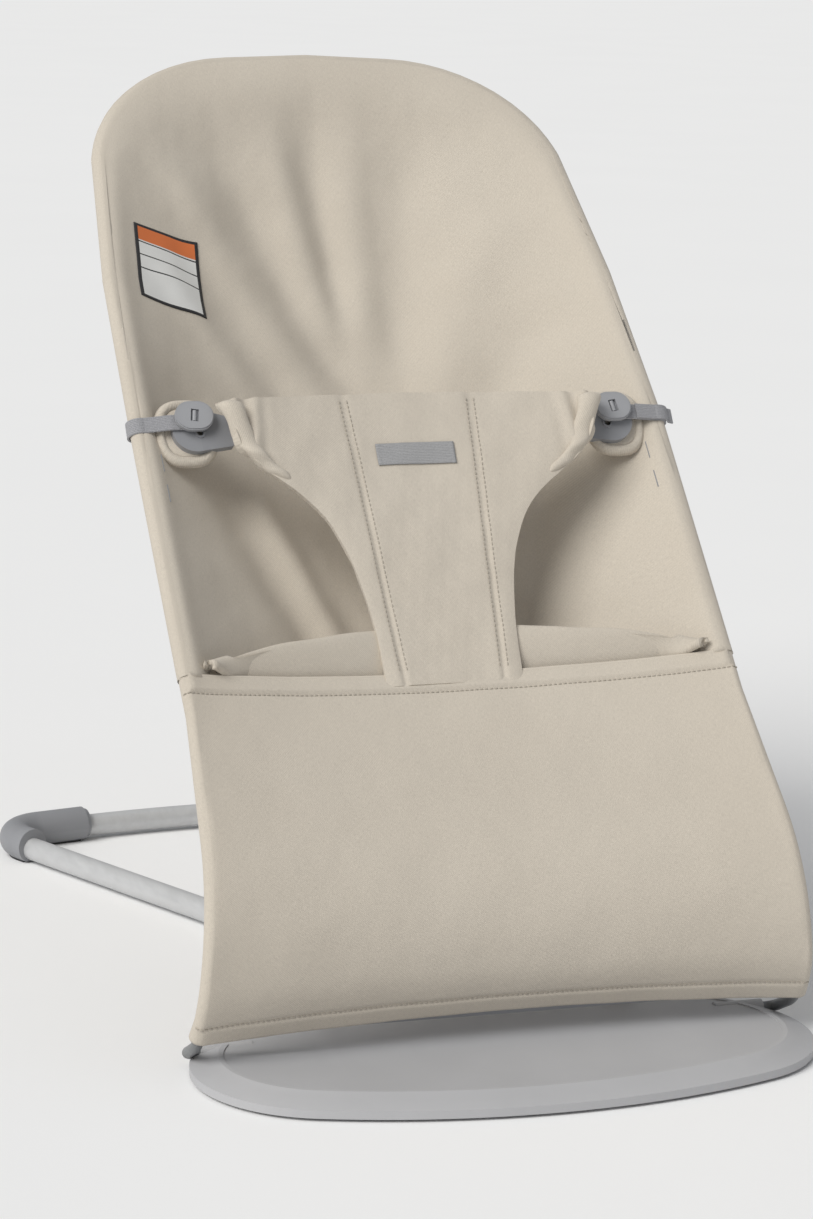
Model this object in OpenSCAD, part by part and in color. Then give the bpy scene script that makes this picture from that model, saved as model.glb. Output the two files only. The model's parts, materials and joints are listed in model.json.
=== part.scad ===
// Infant bouncer seat: spring wire seat frame on an oval foot plate and a tube base.
// The seat reclines and folds flat on two pins in the plate, held by a hinged wire bow
// whose tips rest in notched racks under the side rails.
// Millimetres. Origin: middle of the non-slip pad under the foot plate, on the floor.
// +X is the seat's left-to-right as seen from the front, +Y points back, +Z points up.

/* [Foot plate] */
// overall width of the oval foot plate
plate_w = 390; // [360:1:430]
// depth of the foot plate, front to back
plate_d = 200; // [170:1:220]
// height of the plate's top face above the floor
plate_h = 13; // [12:0.5:16]
// radius of the plate's rounded ends
plate_end_r = 80; // [60:1:90]

/* [Base frame] */
// outer diameter of the base tubes
tube_d = 16; // [14:0.5:18]
// height of the tubes' undersides above the floor
tube_lift = 2; // [2:0.25:4]
// wall of the corner mouldings round the tubes
elbow_wall = 4.2; // [3:0.2:5]
// half the spacing of the tubes where they leave the plate
tube_front_x = 95; // [88:1:105]
// outward spread of the side tubes, sideways per unit of length
tube_spread = 0.453; // [0.35:0.01:0.5]
// distance back to the line where the rear corners turn
corner_y = 535; // [500:1:560]

/* [Seat frame] */
// diameter of the seat's spring steel wire
wire_d = 7; // [6:0.25:8]
// half the width between the side rails
rail_x = 174; // [165:1:180]
// distance of the seat wires inside the foot plate's ends
foot_inset = 5; // [2:0.5:8]
// radius of the forward curve above the plate
front_r = 108; // [90:1:130]
// slope of the lower side rails above the floor
rail_slope = 45.5; // [40:0.5:50]
// slope of the upper side rails above the floor
top_slope = 42.6; // [38:0.2:50]
// length of the upper rail plane, from its bend to the top of the arch
top_len = 319; // [280:1:350]
// roundness of the two top corners
arch_r = 110; // [90:1:120]

/* [Hinge and support] */
// distance of the seat's hinge pins behind the plate's centre
hinge_y = 36; // [30:1:42]
// height of the hinge pins
hinge_z = 8; // [7.5:0.25:9]
// radial clearance of a pin in its bore
pin_gap = 0.06; // [0.02:0.01:0.1]
// diameter of the support bow's wire
bow_d = 6; // [5:0.25:7]
// distance of the support bow's pivot behind the plate's centre
bow_y = 205; // [200:1:210]
// gap between the base tubes and the support bow
bow_gap = 1.5; // [1:0.25:3]
// depth of the support bow's tips below the rail's axis
bow_drop = 21; // [20:0.5:24]

/* [Fabric] */
// thickness of the padded backrest
pad_t = 6; // [4:0.5:10]
// depth of the backrest's hollow below the rails
sag = 68; // [50:1:72]
// thickness of the stretched front panel
panel_t = 2.5; // [2:0.25:4]
// thickness of the restraint bib
bib_t = 4; // [3:0.5:6]

/* [Fastener] */
// width of the oval fastener button
button_w = 25; // [22:0.5:28]
// height of the oval fastener button
button_h = 20; // [17:0.5:22]
// distance of each fastener inside the side rail
fastener_in = 33; // [30:1:38]
// travel of the button along its slot
slot_travel = 10; // [8:0.5:11]
// width of the elastic strap
strap_w = 10.5; // [9:0.5:13]

/* [Hidden] */
$fn = 64;
big_fn = 240;
wire_r = wire_d / 2;
tube_r = tube_d / 2;
bow_r = bow_d / 2;
tube_z = tube_lift + tube_r;
bow_z = tube_z + tube_r + bow_gap + bow_r;
elbow_r = tube_r + elbow_wall;
foot_x = plate_w / 2 - foot_inset;
fastener_x = rail_x - fastener_in;
back_y = plate_d / 2;
socket_wall = 2.6;
front_y = -8;
end_c = plate_w / 2 - plate_end_r;
long_r = ((plate_w / 2) ^ 2 + (plate_d / 2) ^ 2 - plate_w * plate_end_r)
  / (plate_d - 2 * plate_end_r);
long_k = long_r - plate_d / 2;
// side profile corners of the seat wire, as (y, z)
foot_bend = [8, 22];
shin_bend = [front_y, 48];
knee_cut = front_r * tan((90 - rail_slope) / 2);
knee = [front_y, 65.6 + knee_cut];
rail_t = [cos(rail_slope), sin(rail_slope)];
rail_n = [sin(rail_slope), -cos(rail_slope)];
top_t = [cos(top_slope), sin(top_slope)];
top_n = [sin(top_slope), -cos(top_slope)];
bend_len = 339.6;
bend = knee + bend_len * rail_t;
// support bow tip at rest, as distance along the rail from the knee
tip_s = 295.3;
tip = knee + tip_s * rail_t + bow_drop * rail_n;
// degrees the bow turns for each degree the seat turns
bow_ratio = 1.8;
// fastener frame
fast_o = [fastener_x, bend.x - 8.03, bend.y + 10];
fast_tilt = rail_slope + 10.5;
slot_dir = [-sin(21), -cos(21), 0];
// colours
cloth = [0.80, 0.75, 0.68];
cloth_2 = [0.76, 0.71, 0.64];
plate_grey = [0.66, 0.66, 0.67];
tube_grey = [0.76, 0.77, 0.77];
clip_grey = [0.55, 0.56, 0.58];
steel = [0.42, 0.43, 0.44];

function unit(v) = v / norm(v);
function turn(p, i) = acos(max(-1, min(1, unit(p[i] - p[i - 1]) * unit(p[i + 1] - p[i]))));
function cut_back(p, rad, i) =
  (i == 0 || i == len(p) - 1) ? 0 : rad[i] * tan(turn(p, i) / 2);

// straight round bar between two points
module bar(a, b, r) {
  d = b - a;
  translate(a)
    rotate([0, acos(d.z / norm(d)), atan2(d.y, d.x)])
      cylinder(h = norm(d), r = r);
}

// round elbow at corner b of a bent bar, bend radius rad
module bar_bend(a, b, c, rad, r) {
  u = unit(b - a);
  v = unit(c - b);
  ang = acos(max(-1, min(1, u * v)));
  nrm = unit(v - (u * v) * u);
  start = b - rad * tan(ang / 2) * u;
  finish = b + rad * tan(ang / 2) * v;
  o = start + rad * nrm;
  w = cross(-nrm, u);
  gap = 0.12 / rad * 180 / PI;
  multmatrix([[-nrm.x, u.x, w.x, o.x], [-nrm.y, u.y, w.y, o.y], [-nrm.z, u.z, w.z, o.z],
    [0, 0, 0, 1]])
    rotate([0, 0, gap])
      rotate_extrude(angle = ang - 2 * gap, $fn = 96)
        translate([rad, 0]) circle(r = r);
  // short collars carry the bend's ends
  bar(start - 0.4 * u, start + 0.4 * u, r + 0.04);
  bar(finish - 0.4 * v, finish + 0.4 * v, r + 0.04);
}

// bent bar through corner points p, with a bend radius for each
module bent_bar(p, rad, r) {
  last = len(p) - 1;
  for (i = [0:last - 1])
    bar(p[i] + (cut_back(p, rad, i) + (i == 0 ? 0 : 0.12)) * unit(p[i + 1] - p[i]),
      p[i + 1] - (cut_back(p, rad, i + 1) + (i == last - 1 ? 0 : 0.12)) * unit(p[i + 1] - p[i]), r);
  for (i = [1:last - 1])
    bar_bend(p[i - 1], p[i], p[i + 1], rad[i], r);
}

module mirrored() {
  mirror([1, 0, 0]) children();
}

// oval slab with rounded ends, inset d0 at its base and d1 at its top
module oval(z0, z1, d0, d1) {
  reach = 1 + 160 / (long_r - plate_end_r);
  for (s = [-1, 1]) {
    translate([s * end_c, 0, z0])
      cylinder(h = z1 - z0, r1 = plate_end_r - d0, r2 = plate_end_r - d1, $fn = big_fn);
    intersection() {
      translate([0, -s * long_k, z0])
        cylinder(h = z1 - z0, r1 = long_r - d0, r2 = long_r - d1, $fn = 2 * big_fn);
      translate([0, 0, z0])
        linear_extrude(height = z1 - z0)
          polygon([[-end_c, 0], [end_c, 0], [end_c * reach, s * long_k * (reach - 1)],
            [-end_c * reach, s * long_k * (reach - 1)]]);
    }
  }
}

// ---------- base ----------

screw_at = [for (s = [-1, 1])
  each [[s * (plate_w / 2 - 45), 0], [s * 35, 28 - back_y], [s * 35, back_y - 34]]];
pocket_end = plate_w / 2 - 56;
pocket_w = (pocket_end - 7) / 2;

module base_plate() {
  color(plate_grey)
    difference() {
      union() {
        difference() {
          union() {
            oval(2, 7, 0, 0);
            oval(7, plate_h, 0, 17);
          }
          // shallow field on top
          oval(plate_h - 0.8, plate_h + 1, 20, 20);
        }
        for (s = [-1, 1]) {
          // hinge boss
          translate([s * (foot_x - 24) - 16, hinge_y, hinge_z])
            rotate([0, 90, 0]) cylinder(h = 32, r = wire_r + 1.9);
          // tube socket
          intersection() {
            translate([s * tube_front_x, back_y + 6, tube_z])
              rotate([90, 0, 0]) cylinder(h = 46, r = tube_r + socket_wall);
            translate([s * tube_front_x - 20, back_y - 50, 2]) cube([40, 70, 2 * tube_d]);
          }
        }
      }
      // seat for the underside cover, and hollow pockets between the ribs
      oval(1, 3.4, 8, 8);
      for (x = [-pocket_end, -pocket_w - 2, 2, pocket_w + 7])
        for (y = [40 - back_y, 5])
          translate([x, y, 3]) cube([pocket_w, y < 0 ? back_y - 45 : back_y - 54, plate_h - 6.4]);
      // hinge bores
      for (s = [-1, 1])
        translate([s * (foot_x - 19) - 23, hinge_y, hinge_z])
          rotate([0, 90, 0]) cylinder(h = 46, r = wire_r + pin_gap);
      // flared mouths where the wires turn up
      for (s = [-1, 1]) {
        translate([s * foot_x - 7, hinge_y, hinge_z])
          rotate([0, 90, 0]) cylinder(h = 14, r = wire_r + 1.7);
        bar([s * (foot_x + 0.5), hinge_y - 2, hinge_z + 1],
          [s * (foot_x + 0.5), foot_bend[0] - 2, foot_bend[1] + 1], wire_r + 0.9);
      }
      // tube bores, open along the floor side
      for (s = [-1, 1])
        translate([s * tube_front_x, back_y - 36, tube_z]) {
          rotate([-90, 0, 0]) cylinder(h = 43, r = tube_r);
          translate([-5, 0, -tube_z]) cube([10, 43, 5]);
        }
      // screw pilots
      for (p = screw_at)
        translate([p.x, p.y, 3]) cylinder(h = 6, r = 1.5);
    }
}

module plate_underside_cover() {
  color(plate_grey)
    difference() {
      oval(2, 3.4, 8.2, 8.2);
      for (s = [-1, 1]) {
        translate([s * (foot_x - 26) - 18.3, hinge_y - wire_r - 4.8, 1])
          cube([36.6, 2 * wire_r + 9.6, 4]);
        translate([s * tube_front_x - tube_r - 5.3, back_y - 44.3, 1]) cube([tube_d + 10.6, 60, 4]);
      }
      for (p = screw_at)
        translate([p.x, p.y, 1]) cylinder(h = 4, r = 1.7);
    }
}

module cover_screws() {
  color(steel)
    for (p = screw_at)
      translate([p.x, p.y, 0]) {
        translate([0, 0, 0.6]) cylinder(h = 1.4, r = 3);
        translate([0, 0, 1.9]) cylinder(h = 6.6, r = 1.5);
      }
}

module anti_slip_pad() {
  color([0.30, 0.30, 0.31])
    difference() {
      oval(0, 2, 9, 9);
      for (p = screw_at)
        translate([p.x, p.y, -1]) cylinder(h = 4, r = 3.2);
    }
}

side_u = unit([tube_spread, 1, 0]);
corner = [tube_front_x + tube_spread * (corner_y - 299), corner_y, 0];
side_end = corner - 31 * side_u;
foot_screw = corner - 24.6 * side_u + 0.8 * [-side_u.y, side_u.x, 0];
cross_r = 728;
cross_y = corner_y + 27.5;
cross_half = asin((corner.x - 37) / cross_r);

module right_tube() {
  p = [[tube_front_x, back_y - 34, tube_z], [tube_front_x, 299, tube_z],
    side_end + [0, 0, tube_z]];
  bent_bar(p, [0, 120, 0], tube_r);
}

module right_base_tube() {
  color(tube_grey) right_tube();
}

module left_base_tube() {
  color(tube_grey) mirrored() right_tube();
}

module rear_cross_tube() {
  color(tube_grey)
    translate([0, cross_y - cross_r, tube_z])
      rotate([0, 0, 90 - cross_half])
        rotate_extrude(angle = 2 * cross_half, $fn = 360)
          translate([cross_r, 0]) circle(r = tube_r);
}

module right_corner() {
  e = [cross_r * sin(cross_half * 0.82), cross_y - cross_r + cross_r * cos(cross_half * 0.82), 0];
  a = corner - 43 * side_u;
  out = unit(e - corner);
  difference() {
    union() {
      bent_bar([a + [0, 0, elbow_r], corner + [0, 0, elbow_r], e + [0, 0, elbow_r]], [0, 26, 0],
        elbow_r);
      // chamfered mouth round the cross tube
      translate(e - out + [0, 0, elbow_r])
        rotate([0, 90, atan2(out.y, out.x)]) cylinder(h = 4, r1 = elbow_r - 0.3, r2 = elbow_r - 1.8);
    }
    translate([corner.x - 102, corner_y - 95, -8.5]) cube([140, 140, 10]);
    bar(a + [0, 0, tube_z] - 5 * side_u, side_end + [0, 0, tube_z], tube_r);
    translate([0, cross_y - cross_r, tube_z])
      rotate([0, 0, 90 - cross_half])
        rotate_extrude(angle = cross_half, $fn = 360)
          translate([cross_r, 0]) circle(r = tube_r);
    // screw hole from below
    translate([foot_screw.x, foot_screw.y, 1]) cylinder(h = 7.6, r = 1.8);
  }
}

module right_elbow() {
  color(clip_grey) right_corner();
}

module left_elbow() {
  color(clip_grey) mirrored() right_corner();
}

// flat strip of height h round corner b, bend radius rad
module strip(a, b, c, rad, w, h) {
  u = unit(b - a);
  v = unit(c - b);
  ang = acos(u * v);
  cut = rad * tan(ang / 2);
  o = b - cut * u + rad * [-u.y, u.x, 0];
  translate(o) rotate([0, 0, atan2(u.y, u.x) - 90])
    rotate_extrude(angle = ang, $fn = 96)
      translate([rad - w / 2, 0]) square([w, h]);
  translate(a) rotate([0, 0, atan2(u.y, u.x)])
    translate([0, -w / 2 + 0.1, 0]) cube([norm(b - a) - cut + 2, w - 0.2, h]);
  translate(c) rotate([0, 0, atan2(v.y, v.x) + 180])
    translate([0, -w / 2 + 0.1, 0]) cube([norm(c - b) - cut + 2, w - 0.2, h]);
}

module rubber_feet() {
  e = [cross_r * sin(cross_half * 0.84), cross_y - cross_r + cross_r * cos(cross_half * 0.84), 0];
  color([0.33, 0.33, 0.34])
    for (m = [0, 1])
      mirror([m, 0, 0])
        difference() {
          strip(corner - 39 * side_u, corner, e, 26, 11, 1.5);
          translate([foot_screw.x, foot_screw.y, -1]) cylinder(h = 4, r = 3.2);
        }
}

module elbow_screws() {
  color(steel)
    for (m = [0, 1])
      mirror([m, 0, 0])
        translate([foot_screw.x, foot_screw.y, 0]) {
          translate([0, 0, 0.3]) cylinder(h = 1.2, r = 3);
          translate([0, 0, 1.4]) cylinder(h = 7, r = 1.8);
        }
}

module right_bracket() {
  difference() {
    translate([tube_front_x - tube_r - 1, bow_y - 11, tube_lift - 0.4])
      cube([tube_d + 2, 22, bow_z + bow_r + 1.2]);
    translate([tube_front_x, bow_y - 12, tube_z])
      rotate([-90, 0, 0]) cylinder(h = 24, r = tube_r);
    translate([tube_front_x - tube_d, bow_y, bow_z])
      rotate([0, 90, 0]) cylinder(h = 2 * tube_d, r = bow_r + pin_gap);
    for (s = [-1, 1])
      translate([tube_front_x - tube_d, bow_y + s * (bow_r + 12), bow_z + bow_r + 5])
        rotate([0, 90, 0]) cylinder(h = 2 * tube_d, r = 9);
  }
}

module right_bow_bracket() {
  color(clip_grey) right_bracket();
}

module left_bow_bracket() {
  color(clip_grey) mirrored() right_bracket();
}

// ---------- support bow ----------

bow_foot_x = tube_front_x + 24;
bow_top_x = rail_x - 17;

module support_bow() {
  t = [tip.x, tip.y];
  color(steel)
    bent_bar([[rail_x - 4.5, t[0], t[1]], [bow_top_x, t[0], t[1]],
      [bow_foot_x, bow_y, bow_z], [-bow_foot_x, bow_y, bow_z],
      [-bow_top_x, t[0], t[1]], [-(rail_x - 4.5), t[0], t[1]]],
      [0, 8, 12, 12, 8, 0], bow_r);
}

// ---------- seat frame ----------

arch_corner = [rail_x - 22.5, bend.x + (top_len - 8) * top_t.x, bend.y + (top_len - 8) * top_t.y];
arch_low = top_len - 187;
arch_side = [rail_x - 4, bend.x + arch_low * top_t.x, bend.y + arch_low * top_t.y];
arch_top = [0, bend.x + top_len * top_t.x, bend.y + top_len * top_t.y];
// joint between the side wires and the arch
split = arch_side + 45 * unit(arch_corner - arch_side);

module right_wire() {
  p = [[foot_x - 40, hinge_y, hinge_z], [foot_x + 0.5, hinge_y, hinge_z],
    [foot_x + 1, foot_bend[0], foot_bend[1]], [foot_x, shin_bend[0], shin_bend[1]],
    [foot_x - 6, knee[0], knee[1]],
    [rail_x + 1, knee[0] + 130 * rail_t[0], knee[1] + 130 * rail_t[1]],
    [rail_x, bend[0], bend[1]], arch_side, split];
  bent_bar(p, [0, 7, 26, 50, front_r, 260, 600, 400, 0], wire_r);
}

module right_side_wire() {
  color(steel) right_wire();
}

module left_side_wire() {
  color(steel) mirrored() right_wire();
}

module top_arch_wire() {
  m = [-1, 1, 1];
  l_split = [-split.x, split.y, split.z];
  l_corner = [-arch_corner.x, arch_corner.y, arch_corner.z];
  color(steel)
    bent_bar([split, arch_corner, arch_top, l_corner, l_split],
      [0, arch_r, 420, arch_r, 0], wire_r);
}

function spin(p, o, a) =
  o + [cos(a) * (p.x - o.x) - sin(a) * (p.y - o.y), sin(a) * (p.x - o.x) + cos(a) * (p.y - o.y)];

// how far up the rail the bow's tip stands when the seat is reclined by a
function tip_along(a) =
  (spin(spin(tip, [bow_y, bow_z], -bow_ratio * a), [hinge_y, hinge_z], a) - knee) * rail_t;

notches = [tip_s, tip_along(10), tip_along(20)];

// plastic rack under a rail, with a notch for each of the three positions
module right_rack() {
  low = notches[0] - 12;
  high = notches[2] + 10;
  edge = bow_drop - bow_r + 0.8;
  translate([rail_x - 11, knee[0], knee[1]])
    rotate([rail_slope, 0, 0])
      difference() {
        translate([0, low, -edge]) cube([6, high - low, edge - 8]);
        for (y = notches)
          translate([-1, y, -bow_drop])
            rotate([0, 90, 0]) cylinder(h = 8, r = bow_r + 0.2);
      }
  // clips around the rail wire
  for (y = [low + 2, low + 25])
    translate([rail_x + 0.18, knee[0], knee[1]])
      rotate([rail_slope, 0, 0])
        difference() {
          translate([-11.18, y, -10]) cube([12, 13, 11.5]);
          translate([0, y - 1, 0]) rotate([-90, 0, 0]) cylinder(h = 15, r = wire_r + 0.1);
          translate([-1.5, y - 1, 0]) cube([6, 15, 8]);
        }
}

module right_position_rack() {
  color(clip_grey) right_rack();
}

module left_position_rack() {
  color(clip_grey) mirrored() right_rack();
}

module lower_hem_strip() {
  lean = 31.6;
  color(clip_grey)
    translate([-(foot_x - 6), foot_bend[0] + 4.2, foot_bend[1] + 3.7])
      rotate([lean, 0, 0])
        cube([2 * (foot_x - 6), 2, 9]);
}

// ---------- soft parts ----------

// closed shell of thickness t behind a surface f(u, v), u from -reach to reach, v from 0 to 1
module shell(f, t, nu, nv, reach = 1, lift = 0) {
  e = 0.01;
  pos = function(i, j) f(reach * (2 * i / nu - 1), j / nv);
  nrm = function(i, j)
    let (u = reach * (2 * i / nu - 1), v = j / nv,
      du = f(min(1, u + e), v) - f(max(-1, u - e), v),
      dv = f(u, min(1, v + e)) - f(u, max(0, v - e)))
    unit(cross(dv, du));
  n = (nu + 1) * (nv + 1);
  id = function(i, j) i * (nv + 1) + j;
  pts = [for (k = [0, 1]) for (i = [0:nu]) for (j = [0:nv])
    pos(i, j) + (k * t - lift) * nrm(i, j)];
  top = [for (i = [0:nu - 1]) for (j = [0:nv - 1])
    each [[id(i, j), id(i + 1, j + 1), id(i + 1, j)],
      [id(i, j), id(i, j + 1), id(i + 1, j + 1)]]];
  bottom = [for (f3 = top) [f3[0] + n, f3[2] + n, f3[1] + n]];
  rim_u = [for (i = [0:nu - 1])
    each [[id(i, 0), id(i + 1, 0) + n, id(i, 0) + n], [id(i, 0), id(i + 1, 0), id(i + 1, 0) + n],
      [id(i, nv), id(i, nv) + n, id(i + 1, nv) + n],
      [id(i, nv), id(i + 1, nv) + n, id(i + 1, nv)]]];
  rim_v = [for (j = [0:nv - 1])
    each [[id(0, j), id(0, j) + n, id(0, j + 1) + n], [id(0, j), id(0, j + 1) + n, id(0, j + 1)],
      [id(nu, j), id(nu, j + 1) + n, id(nu, j) + n],
      [id(nu, j), id(nu, j + 1), id(nu, j + 1) + n]]];
  polyhedron(points = pts, faces = concat(top, bottom, rim_u, rim_v), convexity = 6);
}

// rail plane: s runs up the rail from the bend, d goes below it
function rail_at(x, s, d) = s < 0
  ? [x, bend[0] + s * rail_t[0] + d * rail_n[0], bend[1] + s * rail_t[1] + d * rail_n[1]]
  : [x, bend[0] + s * top_t[0] + d * top_n[0], bend[1] + s * top_t[1] + d * top_n[1]];

sling_x = rail_x - 18;
// length of the front panel above its forward curve, and where the backrest begins above it
hem_run = 111.5;
sling_lo = knee_cut + hem_run + 3.92 - bend_len;
function sling_top(x) =
  top_len - 134 + 118 * sqrt(max(0, 1 - pow(abs(x) / (rail_x - 8), 2.6)));
function fade(v) = v < 0.3 ? 1 : 1 - pow((v - 0.3) / 0.7, 2);
function sling(u, v) =
  rail_at(u * sling_x, sling_lo + v * (sling_top(u * sling_x) - sling_lo),
    4 + sag * (1 - u * u) * fade(v));

module backrest_sling() {
  color(cloth) shell(function(u, v) sling(u, v), pad_t, 16, 22);
}

// top edge of the front panel
hem_end = knee + (knee_cut + hem_run) * rail_t + [2.88, 0.17];
function hem(u) = [hem_end[0] + 16 * (1 - u * u), hem_end[1] - 9 * (1 - u * u)];

// seat wire's side profile, s up from the fabric's lower edge
shin_len = norm(shin_bend - foot_bend) - 14.15;
shin_arc = 50 * 31.6 * PI / 180;
shin_top = shin_len + shin_arc + 3.4;
front_arc = front_r * (90 - rail_slope) * PI / 180;
shin_u = unit(shin_bend - foot_bend);
function front_at(s) =
  s < shin_len ? foot_bend + s * shin_u
  : s < shin_len + shin_arc
    ? let (b = 31.6 - (s - shin_len) / 50 * 180 / PI)
      [front_y + 50 * (1 - cos(b)), 62.2 - 50 * sin(b)]
  : s < shin_top ? [front_y, 62.2 + s - shin_len - shin_arc]
  : s < shin_top + front_arc
    ? let (b = (s - shin_top) / front_r * 180 / PI)
      [front_y + front_r * (1 - cos(b)), 65.6 + front_r * sin(b)]
  : [front_y + front_r * (1 - sin(rail_slope)), 65.6 + front_r * cos(rail_slope)]
    + (s - shin_top - front_arc) * rail_t;
function wire_half(z) =
  lookup(z, [[22, foot_x + 1], [48, foot_x], [110, foot_x - 6], [202, rail_x + 1], [600, rail_x]]);

panel_len = shin_top + front_arc + hem_run;
function panel(u, v) =
  let (s = v * panel_len, w = front_at(s), a = front_at(s - 1), b = front_at(s + 1),
    n = unit([b[1] - a[1], a[0] - b[0]]), back = (9 + 8 * v) * (1 - u * u) - wire_r - 3.8)
  [u * (wire_half(w[1]) + wire_r + 0.8), w[0] + back * n[0], w[1] + back * n[1]];

module front_panel() {
  color(cloth) shell(function(u, v) panel(u, v), panel_t, 14, 30);
}

function pouch(u, v) =
  let (q = 1 - u * u, a0 = sling(u, 0), h = hem(u),
    a = [a0.y - 2, a0.z - 2.5], d = [h[0] + 5.5, h[1] - 5],
    b = a - 26 * q * q * rail_t, c = d - [0, 37 * q * q],
    p = pow(1 - v, 3) * a + 3 * v * pow(1 - v, 2) * b + 3 * v * v * (1 - v) * c + pow(v, 3) * d)
  [u * (sling_x - 2), p[0], p[1]];

module seat_pouch() {
  color(cloth_2) shell(function(u, v) pouch(u, 1 - v), 3, 16, 10, reach = 0.88);
}

bib_end = fastener_x - 14;
bib_foot = hem(0) + [-1, 3.5];
bib_top = [fast_o.y + 6.5, fast_o.z + 11];
function bib_half(v) =
  lookup(v, [[0, 45], [0.15, 46], [0.32, 51], [0.5, 62], [0.64, bib_end - 47],
    [0.72, bib_end - 27], [0.8, bib_end - 14], [1, bib_end]]);
function bib(u, v) =
  let (x = u * bib_half(v), p = bib_foot + v * (bib_top - bib_foot))
  [x, p.x - 16.5 * pow(x / (bib_end + 3), 2), p.y];

module restraint_bib() {
  color(cloth) shell(function(u, v) bib(u, v), bib_t, 18, 18);
}

module bib_tag() {
  color(clip_grey)
    shell(function(u, v) bib(u * 24.5 / bib_half(0.7 + 0.1 * v), 0.7 + 0.1 * v), 0.5, 4, 2, lift = 0.7);
}

module side_label() {
  color([0.86, 0.86, 0.85])
    shell(function(u, v) sling(-0.78 + 0.15 * u, 0.74 + 0.155 * v), 0.5, 4, 6, lift = 1.1);
}

// ---------- fasteners, in the frame of the right-hand button ----------

module at_fastener() {
  translate(fast_o) rotate([fast_tilt, 0, 0]) children();
}

module right_tab() {
  // padded tab behind the plate
  tab = function(u, v)
    let (y = 21 * (1 - pow(max(0, u), 4) * 0.75), x = 4 + 17 * u)
    [x, (2 * v - 1) * y - 6, -9];
  at_fastener() shell(tab, 4, 12, 8);
}

module right_padded_tab() {
  color(cloth) right_tab();
}

module left_padded_tab() {
  color(cloth) mirrored() right_tab();
}

module slot_shape(z0, z1, w, over) {
  ends = [-over * slot_dir, (slot_travel + over) * slot_dir];
  for (p = ends) translate([p.x, p.y, z0]) cylinder(h = z1 - z0, r = w / 2);
  translate([0, 0, z0])
    rotate([0, 0, 90 - 21])
      translate([-(slot_travel + over), -w / 2, 0])
        cube([slot_travel + 2 * over, w, z1 - z0]);
}

module keyhole() {
  at_fastener()
    difference() {
      union() {
        // rounded outer end, tapering towards the middle
        translate([-1, -7, -8.8]) cylinder(h = 5.4, r = 15);
        translate([0, 0, -8.8])
          linear_extrude(height = 5.4)
            polygon([[-1, 8], [-1, -22], [-24, -19], [-30, -12], [-22, 2]]);
        translate([0, 0, -3.5]) slot_shape(0, 0.9, 7, 0);
      }
      // cavity for the button's foot
      difference() {
        translate([-1, -6, -9.5]) cylinder(h = 4.2, r = 12.6);
        translate([-40, -30, -9.5]) cube([60, 9, 5]);
      }
      slot_shape(-10, 0, 4.2, 0);
    }
}

module right_keyhole_plate() {
  color(clip_grey) keyhole();
}

module left_keyhole_plate() {
  color(clip_grey) mirrored() keyhole();
}

module button() {
  at_fastener() {
    difference() {
      union() {
        // oval disc with a softened edge
        for (l = [[-0.4, 0.8, 0.9], [0.3, 2.6, 0], [2.8, 0.8, 0.8]])
          translate([0, 0, l[0]]) {
            for (s = [-1, 1])
              translate([s * (button_w - button_h) / 2, 0, 0])
                cylinder(h = l[1], r = button_h / 2 - l[2]);
            translate([-(button_w - button_h) / 2, -button_h / 2 + l[2], 0])
              cube([button_w - button_h, button_h - 2 * l[2], l[1]]);
          }
      }
      // window over the peg
      rotate([0, 0, 9]) translate([-2.6, -4.2, 1.4]) cube([5.2, 8.4, 4]);
    }
    // neck and toggle foot
    translate([0, 0, -6.2]) cylinder(h = 6.4, r = 1.9);
    rotate([0, 0, -21]) translate([-4.2, -1.8, -8]) cube([8.4, 3.6, 2]);
    // peg in the window
    rotate([0, 0, 9])
      translate([0, -3.6, 1.7]) rotate([-90, 0, 0]) cylinder(h = 7.2, r = 1.5);
  }
}

module right_button() {
  color(clip_grey) button();
}

module left_button() {
  color(clip_grey) mirrored() button();
}

module strap() {
  // flat elastic band from under the button to a loop around the side rail
  loop = [fastener_in, -12.5];
  loop_r = wire_r + 2.5;
  at_fastener()
    rotate([90, 0, 0])
      translate([0, 0, -strap_w / 2])
        difference() {
          union() {
            translate([3.4, -2.3, 0]) cube([fastener_in - 21, 1.5, strap_w]);
            translate([fastener_in - 18, -2.3, 0]) rotate([0, 0, -21]) cube([17.8 - wire_r, 1.5, strap_w]);
            translate([loop[0], loop[1], 0]) cylinder(h = strap_w, r = loop_r + 1.4);
          }
          translate([loop[0], loop[1], -1]) cylinder(h = strap_w + 2, r = loop_r);
        }
}

module right_elastic_strap() {
  color([0.62, 0.62, 0.64]) strap();
}

module left_elastic_strap() {
  color([0.62, 0.62, 0.64]) mirrored() strap();
}

base_plate();
plate_underside_cover();
anti_slip_pad();
cover_screws();
left_base_tube();
right_base_tube();
rear_cross_tube();
left_elbow();
right_elbow();
rubber_feet();
elbow_screws();
left_bow_bracket();
right_bow_bracket();
support_bow();
left_side_wire();
right_side_wire();
top_arch_wire();
left_position_rack();
right_position_rack();
lower_hem_strip();
front_panel();
seat_pouch();
backrest_sling();
restraint_bib();
left_padded_tab();
right_padded_tab();
left_keyhole_plate();
right_keyhole_plate();
left_button();
right_button();
left_elastic_strap();
right_elastic_strap();
side_label();
bib_tag();
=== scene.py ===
import json
import math

import bpy
import numpy as np
from mathutils import Matrix, Vector


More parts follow.
